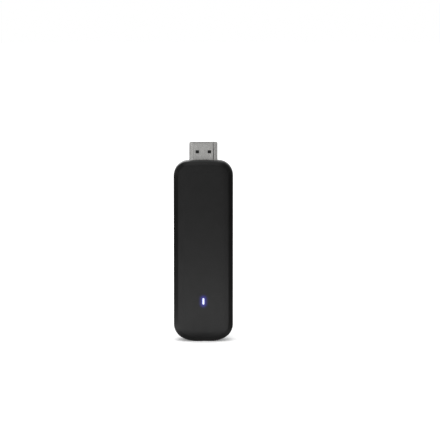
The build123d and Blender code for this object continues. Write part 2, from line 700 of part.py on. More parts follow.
def reset_button():
    """Button cap with a flange that keeps it behind the side wall."""
    cap = Pos(0, BUTTON_HEIGHT) * SlotOverall(BUTTON_LENGTH, BUTTON_WIDTH, rotation=90)
    button = along_x(cap, FLANGE_INNER, HALF_WIDTH - BUTTON_RECESS)
    button = chamfer(button.faces().sort_by(Axis.X)[-1].edges(), BUTTON_EDGE)
    flange = Pos(0, BUTTON_HEIGHT) * RectangleRounded(*BUTTON_FLANGE_SIZE, BUTTON_FLANGE_CORNER)
    return button + along_x(flange, FLANGE_INNER, FLANGE_OUTER)


def switch_plunger():
    """Plunger that the button pushes into the switch."""
    depth = around(0, PLUNGER_HALF_DEPTH)
    plunger = block((PLUNGER_BACK, FLANGE_INNER), depth, around(BUTTON_HEIGHT, PLUNGER_HALF_LENGTH))
    return chamfer(plunger.faces().sort_by(Axis.X)[-1].edges(), PLUNGER_EDGE)


def switch_body():
    """Side-push switch sunk in a notch of the board, with a pocket for its plunger."""
    body = block(SWITCH_SPAN, around(0, SWITCH_HALF_DEPTH), around(BUTTON_HEIGHT, SWITCH_HALF_LENGTH))
    pocket_y = around(0, PLUNGER_HALF_DEPTH + PLUNGER_GAP)
    pocket_z = around(BUTTON_HEIGHT, PLUNGER_HALF_LENGTH + PLUNGER_GAP)
    return body - block((PLUNGER_POCKET_FLOOR, FAR), pocket_y, pocket_z)


def switch_frame():
    """Metal strap over the switch with two lugs soldered to the board."""
    strap_y = (-SWITCH_HALF_DEPTH - STRAP_SHEET, -SWITCH_HALF_DEPTH)
    outer = SWITCH_HALF_LENGTH + STRAP_SIDE
    frame = block(STRAP_SPAN, strap_y, around(BUTTON_HEIGHT, outer))
    for sign in (-1, 1):
        low, high = mirrored(sign, (SWITCH_HALF_LENGTH, outer))
        frame += block(STRAP_SPAN, (strap_y[0], -BOARD_FACE), (BUTTON_HEIGHT + low, BUTTON_HEIGHT + high))
        low, high = mirrored(sign, (SWITCH_HALF_LENGTH, SWITCH_HALF_LENGTH + LUG_REACH))
        lug_y = (-BOARD_FACE - STRAP_SIDE, -BOARD_FACE)
        frame += block(LUG_SPAN, lug_y, (BUTTON_HEIGHT + low, BUTTON_HEIGHT + high))
    return frame


def antenna(sign):
    """Stamped antenna on the rear face of the board: a slotted plate on two legs."""
    top = ANTENNA_STAND_OFF + ANTENNA_SHEET
    plate = on_board(REAR, mirrored(sign, ANTENNA_SPAN), ANTENNA_HEIGHTS, ANTENNA_STAND_OFF, top)
    plate -= on_board(REAR, mirrored(sign, (ANTENNA_SLOT_START, FAR)), ANTENNA_SLOT_HEIGHTS, 0, FAR)
    leg = mirrored(sign, (ANTENNA_SPAN[0], ANTENNA_SPAN[0] + ANTENNA_SHEET))
    foot = mirrored(sign, (ANTENNA_SPAN[0], ANTENNA_SPAN[0] + ANTENNA_FOOT))
    for z in ANTENNA_LEG_HEIGHTS:
        plate += on_board(REAR, leg, z, 0, top)
        plate += on_board(REAR, foot, z, 0, ANTENNA_SHEET)
    return plate


def case_nodes():
    """Both covers, the light pipe and the light."""
    return {
        "front_cover": front_cover(),
        "rear_cover": rear_cover(),
        "light_pipe": light_pipe(),
        "status_light": status_light(),
    }


def plug_nodes():
    """The video plug: metal shell, insulator and two rows of contacts."""
    front_row = plug_contacts(FRONT, FRONT_CONTACTS)
    rear_row = plug_contacts(REAR, REAR_CONTACTS)
    return {
        "video_plug_shell": plug_shell(),
        "video_plug_insulator": plug_insulator(front_row + rear_row),
        "video_plug_front_contacts": group(front_row),
        "video_plug_rear_contacts": group(rear_row),
    }


def side_nodes():
    """The power port, and the reset button with its switch."""
    contacts = port_contacts()
    return {
        "power_port_shell": port_shell(),
        "power_port_tongue": port_tongue(contacts),
        "power_port_contacts": group(contacts),
        "reset_button": reset_button(),
        "switch_plunger": switch_plunger(),
        "switch_body": switch_body(),
        "switch_frame": switch_frame(),
    }


def board_nodes():
    """The board, its components and its antennas."""
    nodes = {"main_circuit_board": circuit_board()}
    for name, (side, places, size) in COMPONENTS.items():
        nodes[name] = group([chip(side, place, size) for place in places])
    nodes["left_antenna"] = antenna(-1)
    nodes["right_antenna"] = antenna(1)
    return nodes


def cooling_nodes():
    """Shields, pads and heat spreaders, stacked outward on both faces of the board."""
    nodes = {name: chip_pads(component) for name, component in CHIP_PADS.items()}
    middle = (0, STACK_MIDDLE)
    for side, name in ((FRONT, "front"), (REAR, "rear")):
        nodes[name + "_shield_frame"] = shield_frame(side)
        nodes[name + "_shield_lid"] = shield_lid(side)
        nodes[name + "_gap_pad"] = centred_on_board(side, middle, GAP_PAD_SIZE, LID_TOP, GAP_PAD_TOP)
        nodes[name + "_heat_spreader"] = heat_spreader(side)
    return nodes


os.makedirs("parts", exist_ok=True)
for nodes in (case_nodes(), plug_nodes(), side_nodes(), board_nodes(), cooling_nodes()):
    for name, shape in nodes.items():
        export_step(shape, "parts/" + name + ".step")
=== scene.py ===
import json
import math

import bmesh
import bpy
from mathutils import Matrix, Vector


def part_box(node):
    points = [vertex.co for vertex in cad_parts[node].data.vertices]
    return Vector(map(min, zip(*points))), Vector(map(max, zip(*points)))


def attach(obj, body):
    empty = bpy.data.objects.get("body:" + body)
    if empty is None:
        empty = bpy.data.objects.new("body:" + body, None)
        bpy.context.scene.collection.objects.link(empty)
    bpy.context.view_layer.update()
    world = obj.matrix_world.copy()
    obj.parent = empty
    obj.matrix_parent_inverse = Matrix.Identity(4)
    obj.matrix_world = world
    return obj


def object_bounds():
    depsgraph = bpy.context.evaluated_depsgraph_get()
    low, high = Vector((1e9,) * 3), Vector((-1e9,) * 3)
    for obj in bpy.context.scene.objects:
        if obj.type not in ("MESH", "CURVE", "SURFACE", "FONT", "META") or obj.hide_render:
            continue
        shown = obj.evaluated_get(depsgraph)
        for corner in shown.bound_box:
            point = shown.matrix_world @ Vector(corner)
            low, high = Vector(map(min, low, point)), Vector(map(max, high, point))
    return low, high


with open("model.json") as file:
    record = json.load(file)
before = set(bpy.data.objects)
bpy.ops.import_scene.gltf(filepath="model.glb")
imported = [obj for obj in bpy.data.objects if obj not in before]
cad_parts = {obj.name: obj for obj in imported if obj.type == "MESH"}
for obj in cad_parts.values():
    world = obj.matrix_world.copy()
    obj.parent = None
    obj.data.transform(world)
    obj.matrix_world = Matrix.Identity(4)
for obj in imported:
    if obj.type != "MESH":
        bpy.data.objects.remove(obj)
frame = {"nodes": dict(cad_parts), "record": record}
cad_low, cad_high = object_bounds()

# A black streaming stick that stands on its base with its plug on top, in a plain studio.
# Lengths are in metres. X is the width, Y runs from the front face to the rear face, Z is up.
MM = 0.001

# The photograph's frame, in pixels, and how it was taken
IMAGE_SIZE = 440
FOCAL_LENGTH_PX = 2263
SENSOR_MM = 36
CAMERA_PITCH = math.radians(5.87)
CAMERA_DISTANCE = 1.12
AIM = Vector((8.2, 0, 59.9)) * MM
CLIP_RANGE = (0.01, 20)

# Studio light: the world's level, and the name, place, size and level of each square lamp.
# A level is the brightness that a white surface gets from it.
WORLD_LEVEL = 0.55
LAMPS = (
    ("top_light", (-0.1, -0.2, 1.0), 0.7, 0.45),
    ("front_light", (-0.15, -1.2, 0.8), 0.8, 0.3),
)

# Pale floor: its size and colour, and its lift towards white by distance from the base's middle
FLOOR_RADIUS = 6.0
FLOOR_COLOUR = 0.84
FLOOR_LIFT = ((0.007, 0.2), (0.018, 0.42), (0.5, 0.75))

# Sides of the floor, the ring and the mat, which stand for circles
ROUND_SEGMENTS = 96

# Ring of card that only reflections see: its size, and its brightness by direction and by height.
# A direction is the angle round from the front, in degrees, with the right hand side positive.
# The directions close up towards the front with height, by the factor that the narrowing gives.
RING_RADIUS = 0.2
RING_HEIGHT = 0.45
RING_BY_ANGLE = (
    (-180, 0.5),
    (-132, 0.45),
    (-108, 0.04),
    (-58, 0.03),
    (-32, 0.56),
    (5, 0.52),
    (32, 0.06),
    (60, 0.03),
    (90, 0.12),
    (108, 0.04),
    (132, 0.45),
    (180, 0.5),
)
RING_BY_HEIGHT = ((0.03, 0.35), (0.11, 1.0), (0.16, 0.7), (0.45, 0.75))
RING_NARROWING = ((0.06, 1.0), (0.2, 1.4))

# Dark card on the floor that only reflections see. It lies close round the base and in two wings,
# each given by its direction and by how the card's cover grows with the distance from the base.
# A wing's cover fades with the angle from its direction, in degrees.
MAT_FADE = ((0.01, 1.0), (0.035, 0.0))
MAT_WINGS = (
    (75, ((0.0, 0.0), (0.03, 1.0))),
    (-88, ((0.04, 0.0), (0.09, 1.0))),
)
MAT_WING_WIDTH = ((24, 1.0), (44, 0.0))
MAT_LEVEL = 0.2
MAT_HEIGHT = 0.02 * MM

# Small upright light cards that only reflections see, two beside the plug and one far behind the
# top: their ends in x and y and their span in height, in millimetres, and their level
LIGHT_CARDS = (
    ("left_plug_card", (-60, -24), (-60, -2), (80, 200), 1.0),
    ("right_plug_card", (66, -16), (66, -4), (80, 200), 0.95),
    ("rear_card", (-150, 150), (10, 150), (88, 440), 1.6),
)

# Ranges of a noise's values that a finish is spread over
NOISE_RANGE = (0.3, 0.7)
CLOUD_RANGE = (0.35, 0.65)
MARK_RANGE = (0.35, 0.7)
SCRATCH_RANGE = (0.56, 0.64)
LIGHT_RANGE = (0.2, 0.8)

# Largest part of a normal along one axis, from where an edge counts as rounded to a flat face
ROUNDED_TO_FLAT = (0.75, 0.98)

# Moulded plastic: its spark-eroded grain, clouds of colour, handling marks drawn out upwards, how
# far the marks change the roughness, and how much smoother the rounded edges have become
GRAIN_SIZE = 0.12 * MM
SMALL_PART_GRAIN_SIZE = 0.08 * MM
CHIP_GRAIN_SIZE = 0.06 * MM
GRAIN_DEPTH = 0.011 * MM
CLOUD_SIZE = 9 * MM
MARK_SIZE = 3 * MM
MARK_STRETCH = (1, 1, 2.5)
MARK_GLOSS = 0.03
EDGE_POLISH = 0.06

# Painted glow in the case plastic round the light's slot, standing in for the status light's light:
# half the length of the upright line that it spreads from, the distances at which it is full and
# gone, how far in front of the pipe's middle it is full, and its fall-off, strength and colour
PAINTED_GLOW_HALF_LENGTH = 1.2 * MM
PAINTED_GLOW_FULL = 0.6 * MM
PAINTED_GLOW_GONE = 3.0 * MM
PAINTED_GLOW_DEPTH = 1.0 * MM
PAINTED_GLOW_FALL_OFF = 2.6
PAINTED_GLOW_STRENGTH = 0.4
PAINTED_GLOW_COLOUR = (0.10, 0.09, 0.75, 1)

# The light pipe's end: the distances from its middle line over which it turns from white to blue,
# the colours of the plastic and of its light at the middle and at the rim, and its fine mottle
PIPE_RIM = (0.2 * MM, 0.55 * MM)
PIPE_COLOURS = ((0.5, 0.55, 0.62, 1), (0.2, 0.22, 0.5, 1))
PIPE_LIGHT_COLOURS = ((0.88, 0.95, 1.0, 1), (0.42, 0.46, 0.95, 1))
PIPE_LIGHT_STRENGTH = (0.62, 0.72)
PIPE_MOTTLE_SIZE = 0.5 * MM
PIPE_ROUGHNESS = (0.2, 0.32)

# Plated metal: its clouding, and the width, direction, depth and roughness of its rolling marks
METAL_CLOUD_SIZE = 2.2 * MM
ROLLING_WIDTH = 0.05 * MM
ROLLED_UP = (1, 1, 14)
ROLLED_ACROSS = (14, 1, 1)
PLUG_ROLLED_UP = (1, 1, 40)
ROLLING_DEPTH = 0.0012 * MM
PLUG_ROLLING_DEPTH = 0.0006 * MM
ROLLING_SMOOTHER = 0.05
ROLLING_ROUGHER = 0.07

# The plug's scratches start below its tip and are fullest at it
SCRATCHED_LENGTH = 7 * MM
SCRATCH_WIDTH = 0.16 * MM
SCRATCH_STRETCH = (1, 1, 60)
SCRATCH_ROUGHNESS = 0.12
SCRATCH_COLOUR = (0.7, 0.68, 0.64, 1)

# The circuit board's copper: blocks of tracks, the pitch and width of a track, and plated holes.
# Each block and each step of the holes' grid has a random value, and the limits are on that value.
TRACK_BLOCK = (3.1 * MM, 1.0, 4.3 * MM)
TRACK_PITCH = 0.42 * MM
TRACK_WIDTH = 0.2 * MM
BLOCK_GAP = 0.18 * MM
UPRIGHT_TRACKS_BELOW = 0.4
FILLED_ABOVE = 0.7
COPPER_THICKNESS = 0.012 * MM
HOLE_SPACING = 0.93 * MM
HOLE_RADIUS = 0.17 * MM
DRILLED_ABOVE = 0.86
MASK_BLUR = 0.01 * MM

# The board's solder mask and its clouding, the mask over copper, the plated holes and the laminate
MASK_COLOURS = ((0.003, 0.026, 0.012, 1), (0.004, 0.034, 0.016, 1))
MASK_CLOUD_SIZE = 6 * MM
MASK_ROUGHNESS = 0.32
COVERED_COPPER_COLOUR = (0.01, 0.07, 0.03, 1)
HOLE_COLOUR = (0.42, 0.34, 0.16, 1)
LAMINATE_COLOUR = (0.3, 0.27, 0.13, 1)
LAMINATE_ROUGHNESS = 0.7

# Part of a normal along the board's depth, from its edges to its faces
EDGE_TO_FACE = (0.4, 0.6)

# Plated ends of the small chip components: share of the length, thickness, solder and edge rounding
CHIP_COMPONENTS = ("front_capacitors", "rear_capacitors", "input_capacitors", "light_resistors")
END_SHARE = 0.24
END_THICKNESS = 0.015 * MM
SOLDER_REACH = 0.1 * MM
SOLDER_CLIMB = 0.6
END_ROUNDING = 0.012 * MM

# Points of a mesh that are this near to each other are one
SAME_POINT = 0.0001 * MM

LIGHT_LOW, LIGHT_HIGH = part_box("light_pipe")
LIGHT_CENTRE = (LIGHT_LOW + LIGHT_HIGH) / 2


def grey(level):
    return (level, level, level, 1.0)


class Nodes:
    """Short ways to add nodes to a tree."""

    def __init__(self, tree):
        self.tree = tree

    def put(self, socket, value):
        """Links a socket to the output that value is, or else gives it the value."""
        if isinstance(value, bpy.types.NodeSocket):
            self.tree.links.new(value, socket)
        else:
            socket.default_value = value

    def add(self, kind, inputs=(), **settings):
        node = self.tree.nodes.new(kind)
        for key, value in settings.items():
            setattr(node, key, value)
        for key, value in dict(inputs).items():
            self.put(node.inputs[key], value)
        return node

    def ramp(self, value, low, high, start, end):
        """Value mapped from low..high to start..end, and held there."""
        inputs = {0: value, 1: low, 2: high, 3: start, 4: end}
        return self.add("ShaderNodeMapRange", inputs).outputs[0]

    def math(self, operation, a, b=0.0):
        return self.add("ShaderNodeMath", {0: a, 1: b}, operation=operation).outputs[0]

    def axes(self, vector):
        """The three parts of a vector."""
        return self.add("ShaderNodeSeparateXYZ", {0: vector}).outputs

    def length(self, vector):
        return self.add("ShaderNodeVectorMath", {0: vector}, operation="LENGTH").outputs["Value"]

    def curve(self, value, points):
        """Smooth curve through (value, level) points, held flat beyond its ends."""
        low, high = points[0][0], points[-1][0]
        node = self.add("ShaderNodeValToRGB", {0: self.ramp(value, low, high, 0, 1)})
        node.color_ramp.interpolation = "EASE"
        stops = node.color_ramp.elements
        while len(stops) < len(points):
            stops.new(0.5)
        for stop, (place, level) in zip(stops, points):
            stop.position = (place - low) / (high - low)
            stop.color = grey(level)
        return node.outputs[0]


class Shader(Nodes):
    """A node material with a Principled surface."""

    def __init__(self, name):
        self.material = bpy.data.materials.new(name)
        self.material.use_nodes = True
        super().__init__(self.material.node_tree)
        self.surface = self.tree.nodes["Principled BSDF"]
        coordinates = self.add("ShaderNodeTexCoord").outputs
        self.place = coordinates["Object"]
        self.normal = coordinates["Normal"]

    def set(self, **values):
        """Values or links for the surface, with spaces in socket names written as underscores."""
        for key, value in values.items():
            self.put(self.surface.inputs[key.replace("_", " ")], value)

    def noise(self, size, detail=2, stretch=(1, 1, 1), seed=0):
        """Noise from 0 to 1 whose features are about size across, in metres."""
        scale = [1 / (size * s) for s in stretch]
        inputs = {"Vector": self.place, "Scale": scale, "Location": [seed] * 3}
        moved = self.add("ShaderNodeMapping", inputs).outputs[0]
        node = self.add("ShaderNodeTexNoise", {"Vector": moved, "Scale": 1.0, "Detail": detail})
        return node.outputs["Fac"]

    def vary(self, noise, start, end, limits=NOISE_RANGE):
        """Noise mapped from a range of its values to start..end, and held there."""
        return self.ramp(noise, *limits, start, end)

    def blend(self, factor, a, b):
        """Colour between a and b."""
        return self.add("ShaderNodeMix", {0: factor, 6: a, 7: b}, data_type="RGBA").outputs[2]

    def cells(self, size):
        """A random value from 0 to 1 for each block of this size, in metres."""
        scale = [1 / s for s in size]
        scaled = self.add("ShaderNodeVectorMath", {0: self.place, 1: scale}, operation="MULTIPLY")
        corner = self.add("ShaderNodeVectorMath", {0: scaled.outputs[0]}, operation="FLOOR")
        return self.add("ShaderNodeTexWhiteNoise", {"Vector": corner.outputs[0]}).outputs["Value"]

    def from_middle(self, value, pitch):
        """Distance from the middle of the step that a value is in, steps being one pitch long."""
        phase = self.math("FRACT", self.math("MULTIPLY", value, 1 / pitch))
        return self.math("MULTIPLY", self.math("ABSOLUTE", self.math("SUBTRACT", phase, 0.5)), pitch)

    def within(self, distance, limit):
        """1 where the distance is under the limit, and 0 beyond it."""
        return self.ramp(distance, limit - MASK_BLUR, limit + MASK_BLUR, 1, 0)

    def rounded(self):
        """1 on rounded edges and corners, and 0 on faces square to an axis."""
        across, deep, up = (self.math("ABSOLUTE", axis) for axis in self.axes(self.normal))
        straight = self.math("MAXIMUM", self.math("MAXIMUM", across, deep), up)
        return self.ramp(straight, *ROUNDED_TO_FLAT, 1, 0)

    def from_light(self):
        """Distances across, back and up from the middle of the light pipe."""
        inputs = {0: self.place, 1: LIGHT_CENTRE}
        offset = self.add("ShaderNodeVectorMath", inputs, operation="SUBTRACT")
        return self.axes(offset.outputs[0])

    def bump(self, height, depth):
        """Bump whose full height is depth, in metres."""
        normal = self.add("ShaderNodeBump", {"Height": height, "Distance": depth}).outputs[0]
        self.put(self.surface.inputs["Normal"], normal)


def moulded_plastic(name, dark, light, roughness, grain=GRAIN_SIZE):
    """Moulded plastic with a fine grain, faint handling marks and edges polished by use."""
    shader = Shader(name)
    cloud = shader.noise(CLOUD_SIZE, detail=3)
    fine = shader.noise(grain, seed=3)
    marks = shader.noise(MARK_SIZE, detail=4, stretch=MARK_STRETCH, seed=7)
    polish = shader.math("MULTIPLY", shader.rounded(), EDGE_POLISH)
    handled = shader.vary(marks, roughness + MARK_GLOSS, roughness - MARK_GLOSS, MARK_RANGE)
    shader.set(
        Base_Color=shader.blend(shader.vary(cloud, 0, 1, CLOUD_RANGE), grey(dark), grey(light)),
        Roughness=shader.math("SUBTRACT", handled, polish),
    )
    shader.bump(fine, GRAIN_DEPTH)
    return shader


def case_plastic():
    """The covers: black plastic, with a painted glow round the status light's slot."""
    shader = moulded_plastic("case_plastic", dark=0.0045, light=0.0056, roughness=0.37)
    across, back, up = shader.from_light()
    past_slot = shader.math("SUBTRACT", shader.math("ABSOLUTE", up), PAINTED_GLOW_HALF_LENGTH)
    beyond = shader.math("POWER", shader.math("MAXIMUM", past_slot), 2)
    distance = shader.math("SQRT", shader.math("ADD", shader.math("POWER", across, 2), beyond))
    near = shader.ramp(distance, PAINTED_GLOW_FULL, PAINTED_GLOW_GONE, 1, 0)
    in_front = shader.ramp(back, -PAINTED_GLOW_DEPTH, 0, 1, 0)
    # Painted glow: emission on the case, full beside the slot and fading away from it
    glow = shader.math("MULTIPLY", shader.math("POWER", near, PAINTED_GLOW_FALL_OFF), in_front)
    shader.set(
        Emission_Color=PAINTED_GLOW_COLOUR,
        Emission_Strength=shader.math("MULTIPLY", glow, PAINTED_GLOW_STRENGTH),
    )
    return shader.material


def button_plastic():
    return moulded_plastic("button_plastic", dark=0.005, light=0.006, roughness=0.4).material


def connector_plastic():
    return moulded_plastic(
        "connector_plastic",
        dark=0.008,
        light=0.01,
        roughness=0.42,
        grain=SMALL_PART_GRAIN_SIZE,
    ).material


def switch_plastic():
    return moulded_plastic(
        "switch_plastic",
        dark=0.02,
        light=0.026,
        roughness=0.5,
        grain=SMALL_PART_GRAIN_SIZE,
    ).material


def chip_package():
    return moulded_plastic(
        "chip_package",
        dark=0.017,
        light=0.024,
        roughness=0.55,
        grain=CHIP_GRAIN_SIZE,
    ).material


def light_pipe_plastic():
    """Clear pipe, lit from behind: white in the middle of its end and bluer towards its rim."""
    shader = Shader("light_pipe_plastic")
    across = shader.from_light()[0]
    rim = shader.ramp(shader.math("ABSOLUTE", across), *PIPE_RIM, 0, 1)
    mottle = shader.noise(PIPE_MOTTLE_SIZE)
    shader.set(
        Base_Color=shader.blend(rim, *PIPE_COLOURS),
        Roughness=shader.vary(mottle, *PIPE_ROUGHNESS),
        Emission_Color=shader.blend(rim, *PIPE_LIGHT_COLOURS),
        Emission_Strength=shader.vary(mottle, *PIPE_LIGHT_STRENGTH, LIGHT_RANGE),
    )
    return shader.material


def plated_metal(name, dark, light, roughness, grain=ROLLED_UP, depth=ROLLING_DEPTH):
    """Plated sheet metal with rolling marks along one way and faint clouding."""
    shader = Shader(name)
    cloud = shader.noise(METAL_CLOUD_SIZE, detail=4)
    lines = shader.noise(ROLLING_WIDTH, detail=3, stretch=grain, seed=2)
    shader.set(
        Base_Color=shader.blend(shader.vary(cloud, 0, 1), (*dark, 1), (*light, 1)),
        Metallic=1.0,
        Roughness=shader.vary(lines, roughness - ROLLING_SMOOTHER, roughness + ROLLING_ROUGHER),
    )
    shader.bump(lines, depth)
    return shader


def plug_metal():
    """The plug's shell: plated metal with fine scratches from plugging in, most at its tip."""
    shader = plated_metal(
        "plug_metal",
        dark=(0.82, 0.814, 0.79),
        light=(0.89, 0.883, 0.857),
        roughness=0.28,
        grain=PLUG_ROLLED_UP,
        depth=PLUG_ROLLING_DEPTH,
    )
    scuffs = shader.noise(SCRATCH_WIDTH, detail=4, stretch=SCRATCH_STRETCH, seed=11)
    height = shader.axes(shader.place)[2]
    near_tip = shader.ramp(height, cad_high.z - SCRATCHED_LENGTH, cad_high.z, 0, 1)
    scratch = shader.math("MULTIPLY", shader.vary(scuffs, 0, 1, SCRATCH_RANGE), near_tip)
    finish = shader.surface.inputs
    plain_colour = finish["Base Color"].links[0].from_socket
    plain_roughness = finish["Roughness"].links[0].from_socket
    scratch_roughness = shader.math("MULTIPLY", scratch, SCRATCH_ROUGHNESS)
    shader.set(
        Base_Color=shader.blend(scratch, plain_colour, SCRATCH_COLOUR),
        Roughness=shader.math("ADD", plain_roughness, scratch_roughness),
    )
    return shader.material


def port_metal():
    return plated_metal(
        "port_metal",
        dark=(0.66, 0.655, 0.64),
        light=(0.74, 0.735, 0.72),
        roughness=0.28,
        grain=ROLLED_ACROSS,
    ).material


def shield_metal():
    return plated_metal(
        "shield_metal",
        dark=(0.68, 0.68, 0.66),
        light=(0.76, 0.76, 0.74),
        roughness=0.33,
    ).material


def heat_spreader_metal():
    return plated_metal(
        "heat_spreader_metal",
        dark=(0.83, 0.83, 0.84),
        light=(0.89, 0.89, 0.9),
        roughness=0.36,
    ).material


def antenna_metal():
    return plated_metal(
        "antenna_metal",
        dark=(0.7, 0.69, 0.66),
        light=(0.78, 0.77, 0.74),
        roughness=0.3,
        grain=ROLLED_ACROSS,
    ).material


def crystal_can():
    return plated_metal(
        "crystal_can",
        dark=(0.72, 0.7, 0.64),
        light=(0.79, 0.77, 0.71),
        roughness=0.3,
        grain=ROLLED_ACROSS,
    ).material


def spring_metal():
    return plated_metal(
        "spring_metal",
        dark=(0.66, 0.66, 0.65),
        light=(0.74, 0.74, 0.73),
        roughness=0.27,
    ).material


def contact_gold():
    return plated_metal(
        "contact_gold",
        dark=(0.9, 0.63, 0.24),
        light=(0.98, 0.73, 0.33),
        roughness=0.22,
    ).material


def board_copper(shader):
    """1 where copper lies under the mask: blocks of tracks one way or the other, and filled blocks."""
    across, _, up = shader.axes(shader.place)
    block = shader.cells(TRACK_BLOCK)
    half_width = TRACK_WIDTH / 2
    upright = shader.within(shader.from_middle(across, TRACK_PITCH), half_width)
    level = shader.within(shader.from_middle(up, TRACK_PITCH), half_width)
    turned = shader.math("GREATER_THAN", block, UPRIGHT_TRACKS_BELOW)
    tracks = shader.ramp(turned, 0, 1, upright, level)
    filled = shader.math("MAXIMUM", tracks, shader.math("GREATER_THAN", block, FILLED_ABOVE))
    for value, size in ((across, TRACK_BLOCK[0]), (up, TRACK_BLOCK[2])):
        inside = shader.within(shader.from_middle(value, size), (size - BLOCK_GAP) / 2)
        filled = shader.math("MULTIPLY", filled, inside)
    return filled


def board_holes(shader):
    """1 on the plated holes, which a few steps of a fine grid have in their middle."""
    across, _, up = shader.axes(shader.place)
    inputs = {0: shader.from_middle(across, HOLE_SPACING), 1: shader.from_middle(up, HOLE_SPACING)}
    away = shader.length(shader.add("ShaderNodeCombineXYZ", inputs).outputs[0])
    step = shader.cells((HOLE_SPACING, 1.0, HOLE_SPACING))
    drilled = shader.math("GREATER_THAN", step, DRILLED_ABOVE)
    return shader.math("MULTIPLY", shader.within(away, HOLE_RADIUS), drilled)


def circuit_board():
    """Green solder mask over copper, with plated holes, and bare laminate on the board's edges."""
    shader = Shader("circuit_board")
    copper = board_copper(shader)
    mask = shader.blend(shader.noise(MASK_CLOUD_SIZE, detail=3), *MASK_COLOURS)
    covered = shader.blend(copper, mask, COVERED_COPPER_COLOUR)
    face = shader.blend(board_holes(shader), covered, HOLE_COLOUR)
    depth = shader.math("ABSOLUTE", shader.axes(shader.normal)[1])
    edge = shader.ramp(depth, *EDGE_TO_FACE, 1, 0)
    shader.set(
        Base_Color=shader.blend(edge, face, LAMINATE_COLOUR),
        Roughness=shader.ramp(edge, 0, 1, MASK_ROUGHNESS, LAMINATE_ROUGHNESS),
    )
    shader.bump(copper, COPPER_THICKNESS)
    return shader.material


def mottled(name, size, colours, roughness, detail=3, contrast=False, depth=0.0):
    """A surface whose colour, roughness and height follow one fine mottle."""
    shader = Shader(name)
    mottle = shader.noise(size, detail)
    tint = shader.vary(mottle, 0, 1) if contrast else mottle
    shader.set(Base_Color=shader.blend(tint, *colours), Roughness=shader.vary(mottle, *roughness))
    if depth:
        shader.bump(mottle, depth)
    return shader


def status_light():
    """The small light: a pale lens, lit."""
    shader = mottled(
        "status_light",
        0.3 * MM,
        colours=((0.8, 0.82, 0.7, 1), (0.7, 0.75, 0.9, 1)),
        roughness=(0.25, 0.4),
        detail=2,
    )
    shader.set(Emission_Color=(0.3, 0.4, 1.0, 1), Emission_Strength=0.6)
    return shader.material


def capacitor_ceramic():
    """Fired tan ceramic."""
    return mottled(
        "capacitor_ceramic",
        0.25 * MM,
        colours=((0.3, 0.17, 0.08, 1), (0.42, 0.26, 0.13, 1)),
        roughness=(0.35, 0.5),
        depth=0.004 * MM,
    ).material


def resistor_film():
    """Black glaze."""
    return mottled(
        "resistor_film",
        0.2 * MM,
        colours=(grey(0.018), grey(0.035)),
        roughness=(0.2, 0.35),
    ).material


def inductor_core():
    """Pressed metal powder: grey and grainy."""
    return mottled(
        "inductor_core",
        0.12 * MM,
        colours=(grey(0.06), grey(0.13)),
        roughness=(0.5, 0.7),
        detail=4,
        contrast=True,
        depth=0.01 * MM,
    ).material


def thermal_pad():
    """Soft grey-blue gap filler with small voids."""
    return mottled(
        "thermal_pad",
        0.4 * MM,
        colours=((0.2, 0.25, 0.34, 1), (0.28, 0.33, 0.42, 1)),
        roughness=(0.6, 0.85),
        detail=4,
        contrast=True,
        depth=0.02 * MM,
    ).material


# One maker for each material slot of the record, under the slot's name
MATERIAL_MAKERS = (
    case_plastic,
    button_plastic,
    light_pipe_plastic,
    status_light,
    plug_metal,
    port_metal,
    connector_plastic,
    contact_gold,
    circuit_board,
    chip_package,
    inductor_core,
    crystal_can,
    capacitor_ceramic,
    resistor_film,
    antenna_metal,
    shield_metal,
    heat_spreader_metal,
    thermal_pad,
    switch_plastic,
    spring_metal,
)


def dress_nodes():
    """Every carried-over node gets the finish that the record's slot names."""
    finishes = {make.__name__: make() for make in MATERIAL_MAKERS}
    for part in frame["record"]["subparts"]:
        node = frame["nodes"][part["node"]]
        for slot in node.material_slots:
            slot.material = finishes[part["material_slot"]]


def add_object(name, mesh):
    obj = bpy.data.objects.new(name, mesh)
    bpy.context.scene.collection.objects.link(obj)
    return obj


def mesh_from(name, build):
    """Mesh filled by a function that takes an empty bmesh."""
    work = bmesh.new()
    build(work)
    mesh = bpy.data.meshes.new(name)
    work.to_mesh(mesh)
    work.free()
    return mesh


def solid_boxes(name):
    """Lowest and highest corners of each separate solid in a carried-over node."""
    node = frame["nodes"][name]
    work = bmesh.new()
    work.from_mesh(node.data)
    work.transform(node.matrix_world)
    bmesh.ops.remove_doubles(work, verts=work.verts, dist=SAME_POINT)
    boxes = []
    seen = set()
    for first in work.verts:
        if first in seen:
            continue
        seen.add(first)
        # The list grows as the loop reaches the neighbours of its points
        solid = [first]
        for vert in solid:
            for edge in vert.link_edges:
                other = edge.other_vert(vert)
                if other not in seen:
                    seen.add(other)
                    solid.append(other)
        corners = [[vert.co[axis] for vert in solid] for axis in range(3)]
        boxes.append((Vector(map(min, corners)), Vector(map(max, corners))))
    work.free()
    return boxes


def end_profile(length, height):
    """Outline of a plated end and its solder, as reach from the component's middle and height."""
    inner = length / 2 - length * END_SHARE
    outer = length / 2 + END_THICKNESS
    top = height + END_THICKNESS
    return (
        (inner, 0.0),
        (outer + SOLDER_REACH, 0.0),
        (outer, height * SOLDER_CLIMB),
        (outer, top),
        (inner, top),
    )


def add_rounded_prism(work, near, far):
    """Closed solid between two like outlines, with its edges rounded."""
    near, far = ([work.verts.new(point) for point in outline] for outline in (near, far))
    faces = [work.faces.new(near), work.faces.new(far)]
    for index in range(len(near)):
        following = (index + 1) % len(near)
        faces.append(work.faces.new((near[index], near[following], far[following], far[index])))
    bmesh.ops.recalc_face_normals(work, faces=faces)
    edges = list({edge for face in faces for edge in face.edges})
    bmesh.ops.bevel(work, geom=edges, offset=END_ROUNDING, segments=2, profile=0.5, affect="EDGES")


